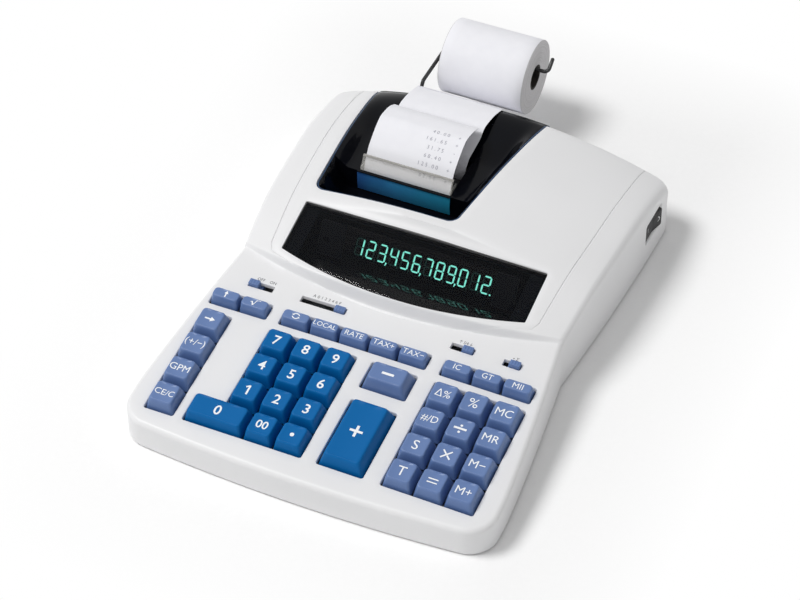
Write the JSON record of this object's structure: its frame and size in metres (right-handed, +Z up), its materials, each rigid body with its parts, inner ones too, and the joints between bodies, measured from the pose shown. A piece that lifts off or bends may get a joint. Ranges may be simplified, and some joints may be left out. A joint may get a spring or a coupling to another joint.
{
  "type": "printing calculator",
  "caption": "Desktop printing calculator: waisted case with a sloping keyboard, a raised bowed display, a sunken paper exit and a paper roll on a wire behind it.",
  "frame": {"origin": "on the table under the middle of the object's box, the paper roll included", "axes": "+X to the right of the user, +Y from the keyboard to the paper roll, +Z up"},
  "size_m": [0.233, 0.3815, 0.0685],
  "materials": {
    "shell": "fine-grained moulded ABS",
    "pan": "moulded ABS",
    "key_blue": "satin moulded ABS",
    "key_slate": "satin moulded ABS",
    "lens": "polished dark acrylic",
    "display_glass": "dark glass tube",
    "smoked_cover": "polished smoked acrylic",
    "clear_bar": "clear acrylic",
    "paper": "plain bond paper",
    "wire": "black lacquered spring wire",
    "steel": "zinc plated",
    "rubber": "ground rubber",
    "board": "solder mask",
    "black": "satin",
    "core": "varnished laminations"
  },
  "bodies": {
    "case": {"top_housing": "shell", "bottom_housing": "pan", "display_window": "lens", "display_module": "display_glass", "printer_cover": "smoked_cover", "tear_bar": "clear_bar", "paper_strip": "paper", "roll_holder_wire": "wire", "key_guide_plate": "steel", "main_board": "board", "printer_frame": "steel", "transformer": "core"},
    "key_0": {"key_0": "key_blue"},
    "key_00": {"key_00": "key_blue"},
    "key_point": {"key_point": "key_blue"},
    "key_1": {"key_1": "key_blue"},
    "key_2": {"key_2": "key_blue"},
    "key_3": {"key_3": "key_blue"},
    "key_4": {"key_4": "key_blue"},
    "key_5": {"key_5": "key_blue"},
    "key_6": {"key_6": "key_blue"},
    "key_7": {"key_7": "key_blue"},
    "key_8": {"key_8": "key_blue"},
    "key_9": {"key_9": "key_blue"},
    "key_plus": {"key_plus": "key_blue"},
    "key_clear": {"key_clear": "key_slate"},
    "key_margin": {"key_margin": "key_slate"},
    "key_sign": {"key_sign": "key_slate"},
    "key_backspace": {"key_backspace": "key_slate"},
    "key_total": {"key_total": "key_slate"},
    "key_equals": {"key_equals": "key_slate"},
    "key_memory_plus": {"key_memory_plus": "key_slate"},
    "key_subtotal": {"key_subtotal": "key_slate"},
    "key_multiply": {"key_multiply": "key_slate"},
    "key_memory_minus": {"key_memory_minus": "key_slate"},
    "key_count": {"key_count": "key_slate"},
    "key_divide": {"key_divide": "key_slate"},
    "key_memory_recall": {"key_memory_recall": "key_slate"},
    "key_delta": {"key_delta": "key_slate"},
    "key_percent": {"key_percent": "key_slate"},
    "key_memory_clear": {"key_memory_clear": "key_slate"},
    "key_minus": {"key_minus": "key_slate"},
    "key_feed": {"key_feed": "key_slate"},
    "key_root": {"key_root": "key_slate"},
    "key_exchange": {"key_exchange": "key_slate"},
    "key_local": {"key_local": "key_slate"},
    "key_rate": {"key_rate": "key_slate"},
    "key_tax_plus": {"key_tax_plus": "key_slate"},
    "key_tax_minus": {"key_tax_minus": "key_slate"},
    "key_item_count": {"key_item_count": "key_slate"},
    "key_grand_total": {"key_grand_total": "key_slate"},
    "key_memory_two": {"key_memory_two": "key_slate"},
    "print_mode_switch": {"print_mode_switch": "key_slate"},
    "decimal_switch": {"decimal_switch": "key_slate"},
    "rounding_switch": {"rounding_switch": "key_slate"},
    "total_switch": {"total_switch": "key_slate"},
    "power_rocker": {"power_rocker": "black"},
    "paper_roll": {"paper_roll": "paper"},
    "platen_roller": {"platen_roller": "rubber"},
    "print_drum": {"print_drum": "steel"}
  },
  "joints": [
    {"name": "key_0_press", "type": "slide", "parent": "case", "child": "key_0", "axis": [0, 0.1196, -0.9928], "range_m": [0, 0.003], "stiffness_N_per_m": 200, "springref_m": -0.002},
    {"name": "key_00_press", "type": "slide", "parent": "case", "child": "key_00", "axis": [0, 0.1196, -0.9928], "range_m": [0, 0.003], "stiffness_N_per_m": 150, "springref_m": -0.002},
    {"name": "key_point_press", "type": "slide", "parent": "case", "child": "key_point", "axis": [0, 0.1196, -0.9928], "range_m": [0, 0.003], "stiffness_N_per_m": 150, "springref_m": -0.002},
    {"name": "key_1_press", "type": "slide", "parent": "case", "child": "key_1", "axis": [0, 0.1196, -0.9928], "range_m": [0, 0.003], "stiffness_N_per_m": 150, "springref_m": -0.002},
    {"name": "key_2_press", "type": "slide", "parent": "case", "child": "key_2", "axis": [0, 0.1196, -0.9928], "range_m": [0, 0.003], "stiffness_N_per_m": 150, "springref_m": -0.002},
    {"name": "key_3_press", "type": "slide", "parent": "case", "child": "key_3", "axis": [0, 0.1196, -0.9928], "range_m": [0, 0.003], "stiffness_N_per_m": 150, "springref_m": -0.002},
    {"name": "key_4_press", "type": "slide", "parent": "case", "child": "key_4", "axis": [0, 0.1196, -0.9928], "range_m": [0, 0.003], "stiffness_N_per_m": 150, "springref_m": -0.002},
    {"name": "key_5_press", "type": "slide", "parent": "case", "child": "key_5", "axis": [0, 0.1196, -0.9928], "range_m": [0, 0.003], "stiffness_N_per_m": 150, "springref_m": -0.002},
    {"name": "key_6_press", "type": "slide", "parent": "case", "child": "key_6", "axis": [0, 0.1196, -0.9928], "range_m": [0, 0.003], "stiffness_N_per_m": 150, "springref_m": -0.002},
    {"name": "key_7_press", "type": "slide", "parent": "case", "child": "key_7", "axis": [0, 0.1196, -0.9928], "range_m": [0, 0.003], "stiffness_N_per_m": 150, "springref_m": -0.002},
    {"name": "key_8_press", "type": "slide", "parent": "case", "child": "key_8", "axis": [0, 0.1196, -0.9928], "range_m": [0, 0.003], "stiffness_N_per_m": 150, "springref_m": -0.002},
    {"name": "key_9_press", "type": "slide", "parent": "case", "child": "key_9", "axis": [0, 0.1196, -0.9928], "range_m": [0, 0.003], "stiffness_N_per_m": 150, "springref_m": -0.002},
    {"name": "key_plus_press", "type": "slide", "parent": "case", "child": "key_plus", "axis": [0, 0.1196, -0.9928], "range_m": [0, 0.003], "stiffness_N_per_m": 200, "springref_m": -0.002},
    {"name": "key_clear_press", "type": "slide", "parent": "case", "child": "key_clear", "axis": [0, 0.1196, -0.9928], "range_m": [0, 0.003], "stiffness_N_per_m": 150, "springref_m": -0.002},
    {"name": "key_margin_press", "type": "slide", "parent": "case", "child": "key_margin", "axis": [0, 0.1196, -0.9928], "range_m": [0, 0.003], "stiffness_N_per_m": 150, "springref_m": -0.002},
    {"name": "key_sign_press", "type": "slide", "parent": "case", "child": "key_sign", "axis": [0, 0.1196, -0.9928], "range_m": [0, 0.003], "stiffness_N_per_m": 150, "springref_m": -0.002},
    {"name": "key_backspace_press", "type": "slide", "parent": "case", "child": "key_backspace", "axis": [0, 0.1196, -0.9928], "range_m": [0, 0.003], "stiffness_N_per_m": 150, "springref_m": -0.002},
    {"name": "key_total_press", "type": "slide", "parent": "case", "child": "key_total", "axis": [0, 0.1196, -0.9928], "range_m": [0, 0.003], "stiffness_N_per_m": 150, "springref_m": -0.002},
    {"name": "key_equals_press", "type": "slide", "parent": "case", "child": "key_equals", "axis": [0, 0.1196, -0.9928], "range_m": [0, 0.003], "stiffness_N_per_m": 150, "springref_m": -0.002},
    {"name": "key_memory_plus_press", "type": "slide", "parent": "case", "child": "key_memory_plus", "axis": [0, 0.1196, -0.9928], "range_m": [0, 0.003], "stiffness_N_per_m": 150, "springref_m": -0.002},
    {"name": "key_subtotal_press", "type": "slide", "parent": "case", "child": "key_subtotal", "axis": [0, 0.1196, -0.9928], "range_m": [0, 0.003], "stiffness_N_per_m": 150, "springref_m": -0.002},
    {"name": "key_multiply_press", "type": "slide", "parent": "case", "child": "key_multiply", "axis": [0, 0.1196, -0.9928], "range_m": [0, 0.003], "stiffness_N_per_m": 150, "springref_m": -0.002},
    {"name": "key_memory_minus_press", "type": "slide", "parent": "case", "child": "key_memory_minus", "axis": [0, 0.1196, -0.9928], "range_m": [0, 0.003], "stiffness_N_per_m": 150, "springref_m": -0.002},
    {"name": "key_count_press", "type": "slide", "parent": "case", "child": "key_count", "axis": [0, 0.1196, -0.9928], "range_m": [0, 0.003], "stiffness_N_per_m": 150, "springref_m": -0.002},
    {"name": "key_divide_press", "type": "slide", "parent": "case", "child": "key_divide", "axis": [0, 0.1196, -0.9928], "range_m": [0, 0.003], "stiffness_N_per_m": 150, "springref_m": -0.002},
    {"name": "key_memory_recall_press", "type": "slide", "parent": "case", "child": "key_memory_recall", "axis": [0, 0.1196, -0.9928], "range_m": [0, 0.003], "stiffness_N_per_m": 150, "springref_m": -0.002},
    {"name": "key_delta_press", "type": "slide", "parent": "case", "child": "key_delta", "axis": [0, 0.1196, -0.9928], "range_m": [0, 0.003], "stiffness_N_per_m": 150, "springref_m": -0.002},
    {"name": "key_percent_press", "type": "slide", "parent": "case", "child": "key_percent", "axis": [0, 0.1196, -0.9928], "range_m": [0, 0.003], "stiffness_N_per_m": 150, "springref_m": -0.002},
    {"name": "key_memory_clear_press", "type": "slide", "parent": "case", "child": "key_memory_clear", "axis": [0, 0.1196, -0.9928], "range_m": [0, 0.003], "stiffness_N_per_m": 150, "springref_m": -0.002},
    {"name": "key_minus_press", "type": "slide", "parent": "case", "child": "key_minus", "axis": [0, 0.1196, -0.9928], "range_m": [0, 0.003], "stiffness_N_per_m": 200, "springref_m": -0.002},
    {"name": "key_feed_press", "type": "slide", "parent": "case", "child": "key_feed", "axis": [0, 0.1196, -0.9928], "range_m": [0, 0.003], "stiffness_N_per_m": 150, "springref_m": -0.002},
    {"name": "key_root_press", "type": "slide", "parent": "case", "child": "key_root", "axis": [0, 0.1196, -0.9928], "range_m": [0, 0.003], "stiffness_N_per_m": 150, "springref_m": -0.002},
    {"name": "key_exchange_press", "type": "slide", "parent": "case", "child": "key_exchange", "axis": [0, 0.1196, -0.9928], "range_m": [0, 0.003], "stiffness_N_per_m": 150, "springref_m": -0.002},
    {"name": "key_local_press", "type": "slide", "parent": "case", "child": "key_local", "axis": [0, 0.1196, -0.9928], "range_m": [0, 0.003], "stiffness_N_per_m": 150, "springref_m": -0.002},
    {"name": "key_rate_press", "type": "slide", "parent": "case", "child": "key_rate", "axis": [0, 0.1196, -0.9928], "range_m": [0, 0.003], "stiffness_N_per_m": 150, "springref_m": -0.002},
    {"name": "key_tax_plus_press", "type": "slide", "parent": "case", "child": "key_tax_plus", "axis": [0, 0.1196, -0.9928], "range_m": [0, 0.003], "stiffness_N_per_m": 150, "springref_m": -0.002},
    {"name": "key_tax_minus_press", "type": "slide", "parent": "case", "child": "key_tax_minus", "axis": [0, 0.1196, -0.9928], "range_m": [0, 0.003], "stiffness_N_per_m": 150, "springref_m": -0.002},
    {"name": "key_item_count_press", "type": "slide", "parent": "case", "child": "key_item_count", "axis": [0, 0.1196, -0.9928], "range_m": [0, 0.003], "stiffness_N_per_m": 150, "springref_m": -0.002},
    {"name": "key_grand_total_press", "type": "slide", "parent": "case", "child": "key_grand_total", "axis": [0, 0.1196, -0.9928], "range_m": [0, 0.003], "stiffness_N_per_m": 150, "springref_m": -0.002},
    {"name": "key_memory_two_press", "type": "slide", "parent": "case", "child": "key_memory_two", "axis": [0, 0.1196, -0.9928], "range_m": [0, 0.003], "stiffness_N_per_m": 150, "springref_m": -0.002},
    {"name": "print_mode_switch_slide", "type": "slide", "parent": "case", "child": "print_mode_switch", "axis": [1, 0, 0], "range_m": [0, 0.0088]},
    {"name": "decimal_switch_slide", "type": "slide", "parent": "case", "child": "decimal_switch", "axis": [1, 0, 0], "range_m": [-0.0218, 0]},
    {"name": "rounding_switch_slide", "type": "slide", "parent": "case", "child": "rounding_switch", "axis": [1, 0, 0], "range_m": [-0.007, 0]},
    {"name": "total_switch_slide", "type": "slide", "parent": "case", "child": "total_switch", "axis": [1, 0, 0], "range_m": [-0.0036, 0]},
    {"name": "power_rocker_tip", "type": "hinge", "parent": "case", "child": "power_rocker", "pos_m": [0.11121, 0.08488, 0.025], "axis": [0, 0, 1], "range_deg": [0, 16]},
    {"name": "paper_roll_spin", "type": "hinge", "parent": "case", "child": "paper_roll", "pos_m": [-0.0285, 0.16598, 0.0438], "axis": [1, 0, 0], "continuous": true},
    {"name": "platen_spin", "type": "hinge", "parent": "case", "child": "platen_roller", "pos_m": [-0.0335, 0.05181, 0.0325], "axis": [1, 0, 0], "continuous": true},
    {"name": "print_drum_spin", "type": "hinge", "parent": "case", "child": "print_drum", "pos_m": [-0.0335, 0.03889, 0.0171], "axis": [1, 0, 0], "continuous": true}
  ],
  "couplings": [
    {"joint": "platen_spin", "follows": "paper_roll_spin", "ratio": 2.1245}
  ]
}
